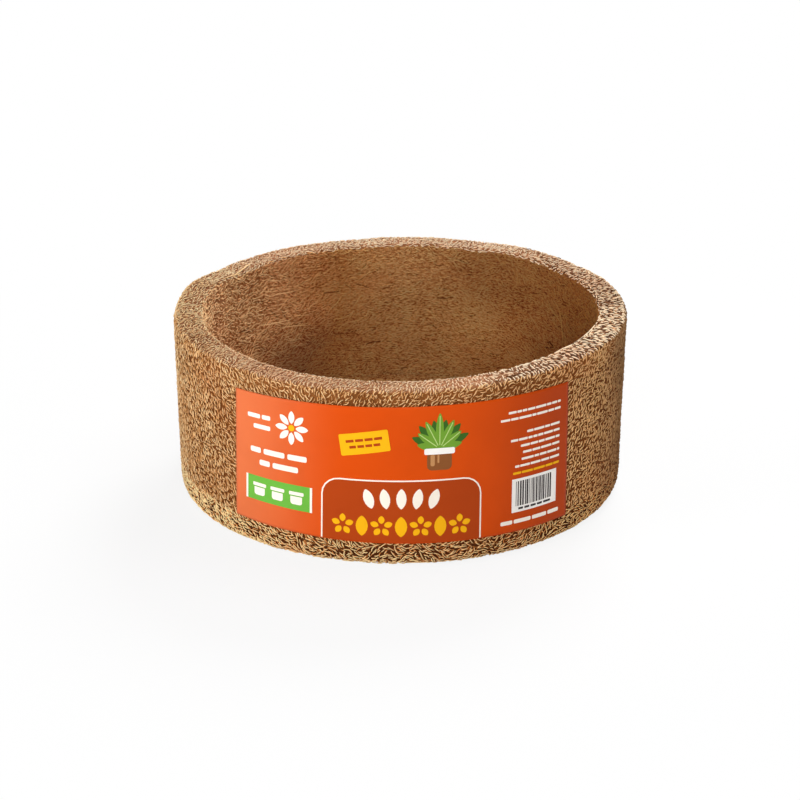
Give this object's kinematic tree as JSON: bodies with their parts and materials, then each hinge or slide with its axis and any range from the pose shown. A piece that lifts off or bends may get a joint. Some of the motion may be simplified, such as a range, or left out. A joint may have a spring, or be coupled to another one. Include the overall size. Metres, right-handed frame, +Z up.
{
  "type": "coir pot",
  "caption": "Low round plant pot of pressed coconut fibre with a thick felted wall, a rounded rim, a drained base and a printed wrap label on its front.",
  "frame": {"origin": "centre of the pot's foot, on the surface that it stands on", "axes": "+Z up through the open top; -Y is the front, where the label is"},
  "size_m": [0.25, 0.2504, 0.1],
  "materials": {
    "coir_wall": "matte",
    "coir_base": "matte",
    "label_paper": "satin"
  },
  "bodies": {
    "root": {"side_wall": "coir_wall", "base_disc": "coir_base", "label": "label_paper"}
  },
  "joints": []
}
